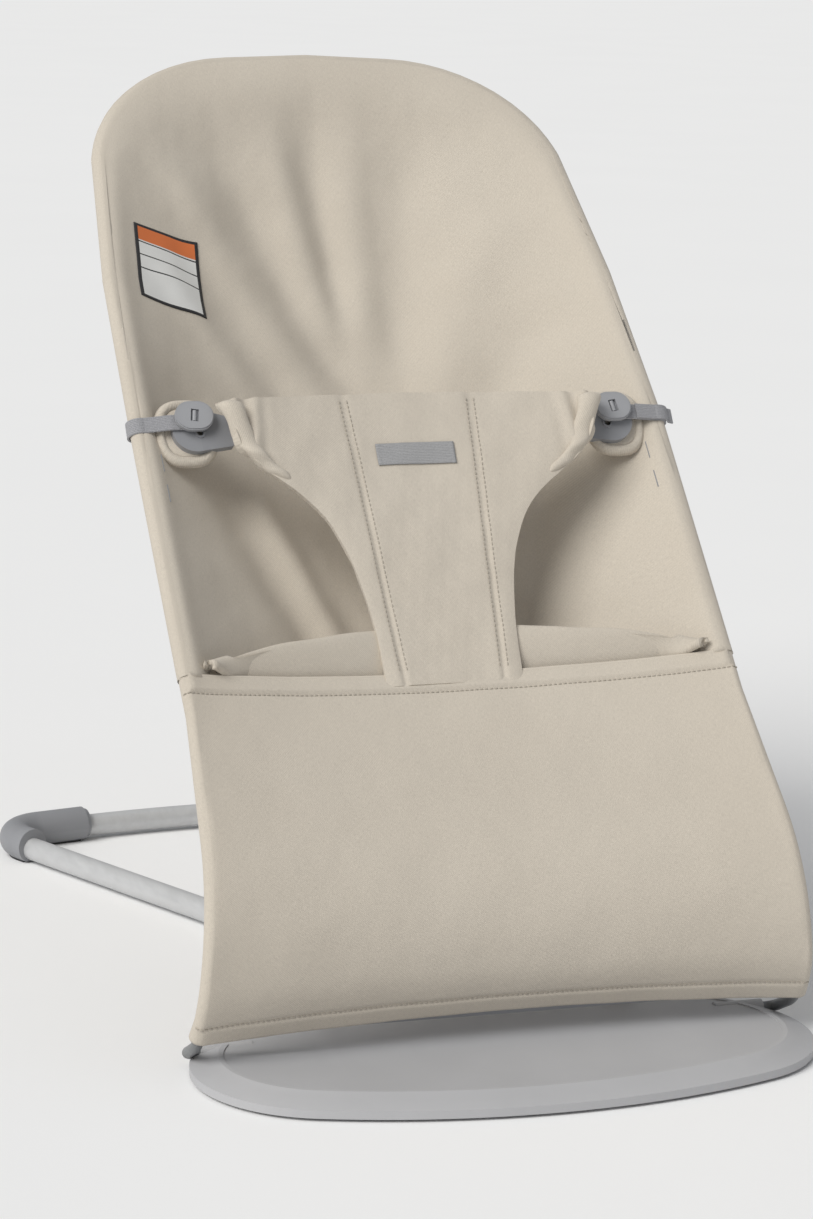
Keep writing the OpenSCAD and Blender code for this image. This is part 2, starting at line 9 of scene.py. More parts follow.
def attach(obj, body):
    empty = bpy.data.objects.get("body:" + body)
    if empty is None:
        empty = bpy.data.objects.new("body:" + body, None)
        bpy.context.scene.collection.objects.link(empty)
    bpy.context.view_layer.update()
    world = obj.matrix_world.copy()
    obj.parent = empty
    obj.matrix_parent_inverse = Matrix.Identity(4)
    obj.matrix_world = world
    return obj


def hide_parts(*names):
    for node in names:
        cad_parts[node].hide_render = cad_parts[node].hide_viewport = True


# The infant bouncer seat's looks: materials for the CAD nodes that stay, and cloth pieces that
# stand for the soft ones. Shapes are worked out in millimetres and become metres in add_object.

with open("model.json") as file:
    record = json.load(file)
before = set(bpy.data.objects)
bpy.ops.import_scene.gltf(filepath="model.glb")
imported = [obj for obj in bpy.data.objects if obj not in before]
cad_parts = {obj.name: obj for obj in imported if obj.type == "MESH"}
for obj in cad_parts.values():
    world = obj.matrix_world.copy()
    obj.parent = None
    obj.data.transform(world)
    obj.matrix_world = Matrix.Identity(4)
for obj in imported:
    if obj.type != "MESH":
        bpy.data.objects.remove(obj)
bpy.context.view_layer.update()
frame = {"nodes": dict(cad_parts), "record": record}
nodes = frame["nodes"]
MM = 0.001

# ---------------------------------------------------------------- sizes, in millimetres
RAIL_X = 174.0
FOOT_X = 190.0
FRONT_Y = -8.0
FRONT_R = 108.0
RAIL_SLOPE = 45.5
TOP_SLOPE = 42.6
TOP_LEN = 319.0
KNEE = np.array([FRONT_Y, 65.6 + FRONT_R * math.tan(math.radians((90 - RAIL_SLOPE) / 2))])
BEND_LEN = 339.6
RAIL_T = np.array([math.cos(math.radians(RAIL_SLOPE)), math.sin(math.radians(RAIL_SLOPE))])
BEND = KNEE + BEND_LEN * RAIL_T
SLING_BOTTOM = -184.0
SAG = 74.0
FASTENER = np.array([141.0, 222.0, 362.0])
FASTENER_TILT = math.radians(56)
HEM_Y, HEM_Z = 104.0, 221.0
HEM_FORWARD, HEM_DROP = 16.0, 9.0
PANEL_FOOT = 8.0
HEM_DEPTH = 11.5
PANEL_THICK = 1.8
POUCH_HALF = 164.0
POUCH_THICK = 3.0
BIB_FOOT = np.array([119.0, 215.5])
BIB_RISE = np.array([109.5, 157.5])
BIB_CURVE = 16.5
BIB_THICK = 5.0
BIB_FACING = np.array([0, -0.82, 0.572])
SEAM_FOOT, SEAM_SPREAD = 33.0, 10.0
TAG_HALF = 26.0
TAG_V, TAG_DV = 0.732, 0.078
LABEL_U = (-0.885, -0.60)
LABEL_S = (118.0, 178.0)
STRAP_WIDTH, STRAP_THICK, STRAP_Y = 10.7, 1.4, -2.4
LOOP = np.array([33.0, -12.5])
LOOP_R, FOLD_R = 7.5, 9.4


# ---------------------------------------------------------------- curves
def rounded(points, radii, step=2.0):
    """Points along a polyline whose corners are rounded, about step apart."""
    pts = [np.array(p, float) for p in points]
    out = [pts[0]]
    for i in range(1, len(pts) - 1):
        a = (pts[i] - pts[i - 1]) / np.linalg.norm(pts[i] - pts[i - 1])
        b = (pts[i + 1] - pts[i]) / np.linalg.norm(pts[i + 1] - pts[i])
        turn = math.acos(max(-1.0, min(1.0, float(a @ b))))
        cut = radii[i] * math.tan(turn / 2)
        side = b - (a @ b) * a
        side /= np.linalg.norm(side)
        start = pts[i] - cut * a
        for k in range(13):
            t = turn * k / 12
            out.append(start + radii[i] * (math.sin(t) * a + (1 - math.cos(t)) * side))
    out.append(pts[-1])
    line = np.array(out)
    run = np.concatenate([[0], np.cumsum(np.linalg.norm(np.diff(line, axis=0), axis=1))])
    keep = np.concatenate([[True], np.diff(run) > 1e-6])
    line, run = line[keep], run[keep]
    at = np.linspace(0, run[-1], max(2, int(run[-1] / step) + 1))
    return np.stack([np.interp(at, run, line[:, k]) for k in range(line.shape[1])], 1), at


def tangents(line):
    """Unit directions along a line of points."""
    t = np.gradient(line, axis=0)
    return t / np.linalg.norm(t, axis=1, keepdims=True)


def smooth(t):
    """Soft step from 0 to 1."""
    t = np.clip(t, 0, 1)
    return t * t * (3 - 2 * t)


# side profile of the rails from the bend, as tables over the distance s
S = np.arange(-400.0, 361.0, 1.0)
SLOPE = np.radians(RAIL_SLOPE + (TOP_SLOPE - RAIL_SLOPE) * smooth((S + 18) / 36))
RAIL_Y = BEND[0] + np.cumsum(np.cos(SLOPE)) - np.cumsum(np.cos(SLOPE))[400]
RAIL_Z = BEND[1] + np.cumsum(np.sin(SLOPE)) - np.cumsum(np.sin(SLOPE))[400]


def rail(x, s, d):
    """Point at half-width x, s up the rail from its bend and d behind the rail plane."""
    x, s, d = np.broadcast_arrays(np.asarray(x, float), np.asarray(s, float), np.asarray(d, float))
    a = np.interp(s, S, SLOPE)
    y = np.interp(s, S, RAIL_Y) + d * np.sin(a)
    z = np.interp(s, S, RAIL_Z) - d * np.cos(a)
    return np.stack([x, y, z], -1)


# outline of the wire frame in the rail plane, from the bend to the middle of the arch
ARCH, _ = rounded([(RAIL_X, 0), (RAIL_X - 4, 132), (RAIL_X - 22.5, TOP_LEN - 8), (0, TOP_LEN)],
                  [0, 400, 110, 0], 1.5)


def side_x(s):
    """Half-width of the rails at s, as if their straight run went on past the arch."""
    return np.interp(s, [-209.6, 0, 132, TOP_LEN - 8, TOP_LEN + 20],
                     [RAIL_X + 1, RAIL_X, RAIL_X - 4, RAIL_X - 22.5, RAIL_X - 24.6])


ARCH_U = ARCH[:, 0] / side_x(ARCH[:, 1])
TURN_AT = int(np.argmax(ARCH_U < 0.9995))
ARCH_NORMAL = np.stack([tangents(ARCH)[:, 1], -tangents(ARCH)[:, 0]], 1)


def arch_top(u):
    """How far up the rail plane the arch stands at u."""
    return np.interp(-np.abs(u), -ARCH_U[TURN_AT:], ARCH[TURN_AT:, 1])


def arch_out(u):
    """Outward direction of the arch at u, in the rail plane."""
    n = np.stack([np.interp(-np.abs(u), -ARCH_U[TURN_AT:], ARCH_NORMAL[TURN_AT:, k]) for k in (0, 1)], -1)
    n[..., 0] *= np.where(np.asarray(u) < 0, -1, 1)
    return n / np.linalg.norm(n, axis=-1, keepdims=True)


# ---------------------------------------------------------------- mesh helpers
def add_object(name, verts, faces, material, uv=None, slot="cloth", smooth_faces=True):
    """A mesh piece that rides on the seat, from points in millimetres."""
    mesh = bpy.data.meshes.new(name)
    mesh.from_pydata([tuple(v) for v in np.asarray(verts) * MM], [], [tuple(f) for f in faces])
    mesh.validate()
    if uv is not None:
        layer = mesh.uv_layers.new(name="cloth")
        idx = np.zeros(len(mesh.loops), int)
        mesh.loops.foreach_get("vertex_index", idx)
        layer.data.foreach_set("uv", (np.asarray(uv)[idx] * MM).astype(np.float32).ravel())
    if smooth_faces:
        mesh.polygons.foreach_set("use_smooth", [True] * len(mesh.polygons))
    mesh.update()
    obj = bpy.data.objects.new(name, mesh)
    bpy.context.scene.collection.objects.link(obj)
    obj.data.materials.append(material)
    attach(obj, "seat")
    return obj


def grid_faces(nu, nv, flip=False, start=0):
    """Quads of a grid of nu by nv points."""
    faces = []
    for i in range(nu - 1):
        for j in range(nv - 1):
            a = start + i * nv + j
            b = a + nv
            f = (a, b, b + 1, a + 1)
            faces.append(f[::-1] if flip else f)
    return faces


def ring_faces(rings, sides, start=0, capped=True):
    """Quads that join rings of points, with a face over each end."""
    faces = []
    for i in range(rings - 1):
        for k in range(sides):
            a = start + i * sides
            b = a + sides
            after = (k + 1) % sides
            faces.append((a + k, a + after, b + after, b + k))
    if capped:
        faces.append(tuple(start + k for k in range(sides))[::-1])
        faces.append(tuple(start + (rings - 1) * sides + k for k in range(sides)))
    return faces


def arc_uv(P):
    """Arc-length coordinates of a grid of points, for the weave."""
    du = np.linalg.norm(np.diff(P, axis=0), axis=2)
    dv = np.linalg.norm(np.diff(P, axis=1), axis=2)
    u = np.concatenate([np.zeros((1, P.shape[1])), np.cumsum(du, 0)], 0)
    v = np.concatenate([np.zeros((P.shape[0], 1)), np.cumsum(dv, 1)], 1)
    u = u - u[P.shape[0] // 2][None, :]
    return np.stack([u, v], -1).reshape(-1, 2)


def normals(P):
    """Unit normals of a grid of points."""
    n = np.cross(np.gradient(P, axis=0), np.gradient(P, axis=1))
    return n / np.maximum(np.linalg.norm(n, axis=2, keepdims=True), 1e-9)


def sheet_object(name, P, material, thickness, **kw):
    """A cloth sheet from a grid of points, with its thickness behind them."""
    nu, nv = P.shape[:2]
    obj = add_object(name, P.reshape(-1, 3), grid_faces(nu, nv), material, arc_uv(P), **kw)
    solid = obj.modifiers.new("thickness", "SOLIDIFY")
    solid.thickness = thickness * MM
    solid.offset = -1.0
    solid.use_rim = True
    return obj


def tube_object(name, line, radius, material, sides):
    """A round cord of the given radius along a line of points."""
    line = np.asarray(line, float)
    t = tangents(line)
    up = np.array([0.0, 0.0, 1.0])
    verts = []
    for p, d in zip(line, t):
        a = np.cross(d, up if abs(d[2]) < 0.9 else np.array([0, 1.0, 0]))
        a /= np.linalg.norm(a)
        b = np.cross(d, a)
        for k in range(sides):
            w = 2 * math.pi * k / sides
            verts.append(p + radius * (math.cos(w) * a + math.sin(w) * b))
    return add_object(name, verts, ring_faces(len(line), sides), material)


def stitch_row(name, line, up, gap, radius=0.42, length=2.5, sink=0.1):
    """A row of short raised stitches along a line of points, on the side that up points to."""
    line, up = np.asarray(line, float), np.asarray(up, float)
    run = np.concatenate([[0], np.cumsum(np.linalg.norm(np.diff(line, axis=0), axis=1))])
    verts, faces = [], []
    at = gap / 2
    while at < run[-1] - gap / 2:
        mid = np.array([np.interp(at, run, line[:, k]) for k in range(3)])
        n = np.array([np.interp(at, run, up[:, k]) for k in range(3)])
        n /= np.linalg.norm(n)
        a = np.array([np.interp(at - 0.5, run, line[:, k]) for k in range(3)])
        b = np.array([np.interp(at + 0.5, run, line[:, k]) for k in range(3)])
        d = (b - a) / np.linalg.norm(b - a)
        w = np.cross(d, n)
        base = len(verts)
        for along, size in ((-0.5, 0.35), (-0.3, 0.9), (0, 1.0), (0.3, 0.9), (0.5, 0.35)):
            drop = sink + 0.55 * (2 * abs(along)) ** 2 * radius
            for k in range(6):
                q = 2 * math.pi * k / 6
                verts.append(mid + along * length * d + (radius * size * math.sin(q) - drop) * n
                             + radius * size * math.cos(q) * w)
        faces += ring_faces(5, 6, base)
        at += gap
    return add_object(name, verts, faces, thread)


def crease(x, s, a, b, width, height):
    """Height of a soft fold that runs from a to b in the rail plane, fading at its ends."""
    a, b = np.array(a, float), np.array(b, float)
    d = b - a
    length = np.linalg.norm(d)
    t = ((x - a[0]) * d[0] + (s - a[1]) * d[1]) / length ** 2
    off = ((x - a[0]) * d[1] - (s - a[1]) * d[0]) / length
    return height * np.exp(-(off / width) ** 2) * smooth((t + 0.15) / 0.4) * smooth((1.15 - t) / 0.4)


def ripple(x, s, scale, height, seed):
    """Slow uneven waviness of loose cloth."""
    v = np.zeros(np.broadcast(x, s).shape)
    for k in range(5):
        a = seed * 1.7 + k * 2.399
        f = (1 + 0.6 * k) / scale
        v = v + np.sin((x * math.cos(a) + s * math.sin(a)) * f * 6.283 + seed * 3.1 + k * 1.3) / (1 + 0.8 * k)
    return height * v / 2.4


# ---------------------------------------------------------------- materials
class Nodes:
    """Short names for building a material's nodes."""

    def __init__(self, name):
        self.m = bpy.data.materials.new(name)
        self.m.use_nodes = True
        self.t = self.m.node_tree
        self.b = self.t.nodes["Principled BSDF"]

    def new(self, kind, **settings):
        n = self.t.nodes.new(kind)
        for key, value in settings.items():
            if key in n.inputs:
                n.inputs[key].default_value = value
            else:
                setattr(n, key, value)
        return n

    def link(self, a, b):
        self.t.links.new(a, b)

    def math(self, op, a, b=None):
        n = self.t.nodes.new("ShaderNodeMath")
        n.operation = op
        for i, v in enumerate((a, b)):
            if v is None:
                continue
            if isinstance(v, (int, float)):
                n.inputs[i].default_value = v
            else:
                self.link(v, n.inputs[i])
        return n.outputs[0]

    def noise(self, coords, scale, detail=4.0, rough=0.55):
        n = self.new("ShaderNodeTexNoise")
        n.inputs["Scale"].default_value = scale
        n.inputs["Detail"].default_value = detail
        n.inputs["Roughness"].default_value = rough
        self.link(coords, n.inputs["Vector"])
        return n.outputs["Fac"]

    def ramp(self, fac, stops):
        n = self.new("ShaderNodeValToRGB")
        e = n.color_ramp.elements
        while len(e) < len(stops):
            e.new(0.5)
        for i, (at, colour) in enumerate(stops):
            e[i].position = at
            e[i].color = (*colour, 1)
        self.link(fac, n.inputs[0])
        return n.outputs[0]

    def bump(self, height, strength, distance, under=None):
        n = self.new("ShaderNodeBump")
        n.inputs["Strength"].default_value = strength
        n.inputs["Distance"].default_value = distance
        self.link(height, n.inputs["Height"])
        if under is not None:
            self.link(under, n.inputs["Normal"])
        return n.outputs[0]

    def principled(self, **values):
        for key, value in values.items():
            self.b.inputs[key.replace("_", " ")].default_value = value


def cloth_material(name, colour, heather=0.05, thread=0.00085, fuzz=0.25):
    """Fine twill: diagonal ribs across thread rows, with slubs and a little fuzz."""
    n = Nodes(name)
    coord = n.new("ShaderNodeTexCoord")
    split = n.new("ShaderNodeSeparateXYZ")
    n.link(coord.outputs["UV"], split.inputs[0])
    x, y = split.outputs[0], split.outputs[1]
    turn = 2 * math.pi / thread
    warp = n.math("SINE", n.math("MULTIPLY", n.math("ADD", x, y), turn * 0.62))
    weft = n.math("SINE", n.math("MULTIPLY", n.math("SUBTRACT", y, n.math("MULTIPLY", x, 0.12)), turn))
    weave = n.math("ADD", n.math("MULTIPLY", warp, 0.65), n.math("MULTIPLY", weft, 0.35))
    stretch = n.new("ShaderNodeMapping")
    stretch.inputs["Scale"].default_value = (1.0, 6.0, 1.0)
    n.link(coord.outputs["UV"], stretch.inputs[0])
    slub = n.noise(stretch.outputs[0], 420.0, 3.0, 0.6)
    cross = n.new("ShaderNodeMapping")
    cross.inputs["Scale"].default_value = (5.0, 1.0, 1.0)
    n.link(coord.outputs["UV"], cross.inputs[0])
    slub2 = n.noise(cross.outputs[0], 380.0, 3.0, 0.6)
    patch = n.noise(coord.outputs["Object"], 9.0, 3.0, 0.5)
    mix = n.math("ADD", n.math("MULTIPLY", slub, 0.5), n.math("MULTIPLY", slub2, 0.5))
    low = [c * (1 - 2.6 * heather) for c in colour]
    high = [min(1, c * (1 + 2.2 * heather)) for c in colour]
    base = n.ramp(mix, [(0.33, low), (0.5, colour), (0.67, high)])
    shade = n.new("ShaderNodeMixRGB", blend_type="MULTIPLY")
    shade.inputs[0].default_value = 1.0
    n.link(base, shade.inputs[1])
    n.link(n.ramp(patch, [(0.3, (0.955, 0.95, 0.945)), (0.7, (1, 1, 1))]), shade.inputs[2])
    rib = n.new("ShaderNodeMixRGB", blend_type="MULTIPLY")
    rib.inputs[0].default_value = 1.0
    n.link(shade.outputs[0], rib.inputs[1])
    n.link(n.ramp(n.math("ADD", n.math("MULTIPLY", weave, 0.5), 0.5),
                  [(0.0, (0.9, 0.895, 0.89)), (0.7, (1, 1, 1))]), rib.inputs[2])
    n.link(rib.outputs[0], n.b.inputs["Base Color"])
    soft = n.bump(n.noise(coord.outputs["Object"], 55.0, 2.0), 0.12, 0.004)
    height = n.math("ADD", weave, n.math("MULTIPLY", mix, 1.2))
    n.link(n.bump(height, 0.35, 0.00022, soft), n.b.inputs["Normal"])
    n.link(n.ramp(mix, [(0.3, (0.84,) * 3), (0.7, (0.97,) * 3)]), n.b.inputs["Roughness"])
    n.principled(Sheen_Weight=fuzz, Sheen_Roughness=0.5, Specular_IOR_Level=0.18)
    n.b.inputs["Sheen Tint"].default_value = (1.0, 0.96, 0.9, 1)
    return n.m


def plastic_material(name, colour, rough=0.45, grain=0.10, grain_scale=1400.0, edge_highlight=0.04):
    """Moulded plastic with a fine spark grain, soft patches and a painted highlight on its raised edges."""
    n = Nodes(name)
    coord = n.new("ShaderNodeTexCoord")
    fine = n.noise(coord.outputs["Object"], grain_scale, 2.0, 0.5)
    slow = n.noise(coord.outputs["Object"], 14.0, 4.0, 0.6)
    # painted highlight: raised edges, found by pointiness, are mixed towards a lighter copy of the colour
    geo = n.new("ShaderNodeNewGeometry")
    edge = n.ramp(geo.outputs["Pointiness"], [(0.5, (0, 0, 0)), (0.56, (1, 1, 1))])
    base = n.ramp(slow, [(0.3, [c * 0.96 for c in colour]), (0.7, [min(1, c * 1.03) for c in colour])])
    mix = n.new("ShaderNodeMixRGB", blend_type="MIX")
    n.link(n.math("MULTIPLY", edge, edge_highlight * 4), mix.inputs[0])
    n.link(base, mix.inputs[1])
    mix.inputs[2].default_value = (*[min(1, c * 1.25 + 0.03) for c in colour], 1)
    n.link(mix.outputs[0], n.b.inputs["Base Color"])
    n.link(n.ramp(slow, [(0.25, (rough - 0.05,) * 3), (0.75, (rough + 0.07,) * 3)]), n.b.inputs["Roughness"])
    n.link(n.bump(fine, grain, 0.0003), n.b.inputs["Normal"])
    n.principled(Specular_IOR_Level=0.42)
    return n.m


def metal_paint_material(name, colour, rough=0.38):
    """Satin powder coat over round stock: fine orange peel and faint length-wise streaks."""
    n = Nodes(name)
    coord = n.new("ShaderNodeTexCoord")
    peel = n.noise(coord.outputs["Object"], 900.0, 2.0, 0.5)
    streak = n.new("ShaderNodeMapping")
    streak.inputs["Scale"].default_value = (60.0, 3.0, 60.0)
    n.link(coord.outputs["Object"], streak.inputs[0])
    rub = n.noise(streak.outputs[0], 3.0, 3.0, 0.6)
    n.link(n.ramp(rub, [(0.3, [c * 0.95 for c in colour]), (0.7, [min(1, c * 1.04) for c in colour])]),
           n.b.inputs["Base Color"])
    n.link(n.ramp(rub, [(0.3, (rough - 0.04,) * 3), (0.7, (rough + 0.08,) * 3)]), n.b.inputs["Roughness"])
    n.link(n.bump(peel, 0.06, 0.0003), n.b.inputs["Normal"])
    n.principled(Metallic=0.25, Specular_IOR_Level=0.5)
    return n.m


def webbing_material(name, colour):
    """Narrow ribbed elastic in mixed grey threads."""
    n = Nodes(name)
    coord = n.new("ShaderNodeTexCoord")
    split = n.new("ShaderNodeSeparateXYZ")
    n.link(coord.outputs["UV"], split.inputs[0])
    rib = n.math("SINE", n.math("MULTIPLY", split.outputs[1], 2 * math.pi / 0.0011))
    row = n.math("SINE", n.math("MULTIPLY", split.outputs[0], 2 * math.pi / 0.0007))
    both = n.math("ADD", n.math("MULTIPLY", rib, 0.6), n.math("MULTIPLY", row, 0.4))
    fleck = n.noise(coord.outputs["UV"], 1500.0, 2.0, 0.7)
    n.link(n.ramp(n.math("ADD", n.math("MULTIPLY", both, 0.16), fleck),
                  [(0.25, [c * 0.62 for c in colour]), (0.5, colour),
                   (0.8, [min(1, c * 1.5) for c in colour])]),
           n.b.inputs["Base Color"])
    n.link(n.bump(both, 0.5, 0.0003), n.b.inputs["Normal"])
    n.principled(Roughness=0.85, Sheen_Weight=0.15)
    return n.m


def plain_tape_material(name, colour):
    """Smooth label tape with a faint thread grid."""
    n = Nodes(name)
    coord = n.new("ShaderNodeTexCoord")
    fine = n.noise(coord.outputs["UV"], 2600.0, 2.0, 0.5)
    n.link(n.ramp(fine, [(0.3, [c * 0.93 for c in colour]), (0.7, [min(1, c * 1.04) for c in colour])]),
           n.b.inputs["Base Color"])
    n.link(n.bump(fine, 0.2, 0.0002), n.b.inputs["Normal"])
    n.principled(Roughness=0.6)
    return n.m


CLOTH = (0.60, 0.545, 0.465)
cloth = cloth_material("beige_twill", CLOTH)
# painted shade: a slightly darker copy of the twill for the seat pouch, which sits inside the seat
cloth_painted_shade = cloth_material("beige_twill_painted_shade", [c * 0.97 for c in CLOTH])
thread = cloth_material("sewing_thread", [c * 0.72 for c in CLOTH], heather=0.02, thread=0.0004, fuzz=0.1)
webbing = webbing_material("grey_elastic", (0.30, 0.30, 0.315))
tag_cloth = webbing_material("grey_tag", (0.33, 0.33, 0.335))
label_white = plain_tape_material("label_white", (0.74, 0.74, 0.72))
label_orange = plain_tape_material("label_orange", (0.66, 0.17, 0.045))
label_black = plain_tape_material("label_black", (0.02, 0.02, 0.022))

SLOT_LOOKS = {
    "plate": plastic_material("plate_plastic", (0.43, 0.43, 0.44), 0.5, 0.12),
    "pad": plastic_material("dark_rubber", (0.045, 0.045, 0.048), 0.75, 0.2, 700.0, 0.0),
    "screw": metal_paint_material("zinc_screw", (0.5, 0.5, 0.5), 0.32),
    "tube": metal_paint_material("silver_paint", (0.56, 0.565, 0.57)),
    "moulding": plastic_material("grey_moulding", (0.26, 0.265, 0.28), 0.42, 0.10),
    "wire": metal_paint_material("wire_paint", (0.20, 0.205, 0.21), 0.4),
    "clip": plastic_material("clip_plastic", (0.25, 0.255, 0.27), 0.4, 0.08),
    "button": plastic_material("button_plastic", (0.31, 0.315, 0.33), 0.5, 0.10),
}
for part in frame["record"]["subparts"]:
    look = SLOT_LOOKS.get(part["material_slot"])
    if look:
        mesh = nodes[part["node"]].data
        mesh.materials.clear()
        mesh.materials.append(look)


# ---------------------------------------------------------------- backrest sling
def sling_depth(u, s, top):
    """How far the sling hangs behind the rail plane."""
    x = u * side_x(s)
    v = (s - SLING_BOTTOM) / (top - SLING_BOTTOM)
    edge = (1 - np.abs(u)) * side_x(s)
    across = 1 - (1 - np.clip((edge - 3) / 168, 0, 1)) ** 2
    along = 1 - np.clip((v - 0.28) / 0.72, 0, 1) ** 2.7
    roll = 1 - np.exp(-(np.maximum(top - s, 0) / 34) ** 2)
    lip = 1 - np.exp(-(edge / 9) ** 2)
    hang = SAG * across * along * (0.35 + 0.65 * roll) * lip
    # drape folds under the top roll and a long diagonal crease towards the bib
    folds = (crease(x, s, (-112, 240), (-14, 40), 19, -6.5) + crease(x, s, (-78, 262), (6, 60), 15, 4.6)
             + crease(x, s, (-34, 275), (-8, 110), 14, -4.4) + crease(x, s, (-8, 280), (2, 120), 12, 4.2)
             + crease(x, s, (24, 280), (14, 110), 14, -3.6) + crease(x, s, (66, 262), (30, 80), 19, 4.2)
             + crease(x, s, (112, 205), (40, 40), 22, -5.5) + crease(x, s, (128, 120), (70, 10), 20, 4.0)
             + crease(x, s, (-132, 160), (-56, 24), 15, -4.5) + crease(x, s, (-140, 60), (-90, -40), 18, 3.5)
             + crease(x, s, (-122, -20), (-62, -150), 14, 5.5) + crease(x, s, (-98, 0), (-46, -150), 11, -5.5)
             + crease(x, s, (114, 10), (66, -150), 14, 4.5) + crease(x, s, (90, 10), (42, -150), 12, -4.5))
    inner = smooth(edge / 40) * smooth((top - s) / 45)
    return hang + (folds + ripple(x, s, 120, 1.3, 2) + ripple(x, s, 52, 0.45, 5)) * inner


def edge_radius(s):
    """Radius of the padded roll round the wire, fuller over the top."""
    return 6.2 + 2.6 * smooth((s - 170) / 120)


def make_sling():
    """Padded backrest: front and back faces joined by a roll round the wire, closed along the foot."""
    nu, nv, nk = 121, 150, 10
    u = np.linspace(-1, 1, nu)
    u = np.sign(u) * (1 - (1 - np.abs(u)) ** 1.25)
    v = np.linspace(0, 1, nv) ** 0.92
    U, V = np.meshgrid(u, v, indexing="ij")
    top = arch_top(U)
    s = SLING_BOTTOM + V * (top - SLING_BOTTOM)
    x = U * side_x(s)
    rho = edge_radius(s)
    depth = -rho + sling_depth(U, s, top)
    front = rail(x, s, depth)
    back_gap = 2 * rho - (2 * rho - 8) * smooth((1 - np.abs(U)) * 6) * smooth((top - s) / 30)
    back = rail(x, s, depth + back_gap)
    verts = list(front.reshape(-1, 3)) + list(back.reshape(-1, 3))
    faces = grid_faces(nu, nv, flip=True) + grid_faces(nu, nv, start=nu * nv)
    uv = list(arc_uv(front)) + list(arc_uv(back))
    # rolls round the wire, from the left rail's foot over the arch to the right rail's foot
    rim = [(0, j) for j in range(nv)] + [(i, nv - 1) for i in range(1, nu)] \
        + [(nu - 1, j) for j in range(nv - 2, -1, -1)]
    rows = []
    run = 0.0
    last = None
    for i, j in rim:
        if j == nv - 1:
            out = arch_out(np.array(U[i, j]))
        else:
            out = np.array([math.copysign(1, U[i, j]), 0.0])
        r = rho[i, j]
        if last is not None:
            run += float(np.linalg.norm(front[i, j] - last))
        last = front[i, j]
        row = [i * nv + j]
        for k in range(1, nk):
            a = math.pi * k / nk
            row.append(len(verts))
            verts.append(rail(x[i, j] + r * math.sin(a) * out[0], s[i, j] + r * math.sin(a) * out[1],
                              -r * math.cos(a)))
            uv.append((r * a + (U[i, j] * RAIL_X if j == nv - 1 else RAIL_X), run))
        row.append(nu * nv + i * nv + j)
        rows.append(row)
    for a, b in zip(rows, rows[1:]):
        for k in range(nk):
            faces.append((a[k], b[k], b[k + 1], a[k + 1])[::-1])
    # close the bottom edge
    for i in range(nu - 1):
        a, b = i * nv, (i + 1) * nv
        faces.append((a, b, b + nu * nv, a + nu * nv))
    obj = add_object("backrest_cover", verts, faces, cloth, uv)
    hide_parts("backrest_sling")


make_sling()


def sling_point(u, s, lift=0.0):
    """Point on the backrest's front, lifted off it; u is a share of the half-width."""
    d = sling_depth(u, s, arch_top(u)) - edge_radius(s)
    return rail(u * side_x(s), s, d - lift)


# ---------------------------------------------------------------- front panel
PROFILE, PROFILE_RUN = rounded([(8, 22), (FRONT_Y, 48), tuple(KNEE), tuple(KNEE + 220 * RAIL_T)],
                               [0, 50, FRONT_R, 0], 1.0)
PROFILE_T = tangents(PROFILE)
PROFILE_OUT = np.stack([-PROFILE_T[:, 1], PROFILE_T[:, 0]], 1)
WIRE_HALF = ([22, 48, 110, 202, 600], [FOOT_X + 1, FOOT_X, FOOT_X - 6, RAIL_X + 1, RAIL_X])
PANEL_LEN = float(np.interp(HEM_Z, PROFILE[:, 1], PROFILE_RUN))


def profile(run):
    """Point on the wire's side profile and its outward direction."""
    p = np.stack([np.interp(run, PROFILE_RUN, PROFILE[:, k]) for k in (0, 1)], -1)
    n = np.stack([np.interp(run, PROFILE_RUN, PROFILE_OUT[:, k]) for k in (0, 1)], -1)
    return p, n / np.linalg.norm(n, axis=-1, keepdims=True)


def panel_point(u, run, lift=0.0):
    """Point on the panel's outside; u passes 1 where the cloth turns round the wires."""
    u, run = np.broadcast_arrays(np.asarray(u, float), np.asarray(run, float))
    p, n = profile(run)
    half = np.interp(p[..., 1], *WIRE_HALF)
    v = run / PANEL_LEN
    r = 5.4 + 1.2 * smooth((0.12 - v) / 0.12)
    flat = np.clip(u, -1, 1)
    bow = (9 + 15 * v ** 2) * (1 - flat ** 2) ** 0.9
    hem_top = 1.1 * smooth((run - PANEL_LEN + 11) / 2)
    hem_top = hem_top - 0.7 * np.exp(-((run - PANEL_LEN + HEM_DEPTH) / 1.2) ** 2)
    hem_low = 0.5 * smooth((PANEL_FOOT + 12 - run) / 2)
    hem_low = hem_low - 0.7 * np.exp(-((run - PANEL_FOOT - HEM_DEPTH - 1) / 1.2) ** 2)
    wave = ripple(u * 190, run, 150, 0.7, 3) + ripple(u * 190, run, 60, 0.22, 7)
    turn = (np.abs(u) - 1).clip(0) * 10
    out = r - bow + (hem_top + hem_low + wave) * (turn < 0.01) + lift
    x = flat * half + np.sign(u) * (r + lift) * np.sin(turn)
    off = np.where(turn > 0, (r + lift) * np.cos(turn), out)
    return np.stack([x, p[..., 0] + off * n[..., 0], p[..., 1] + off * n[..., 1]], -1)


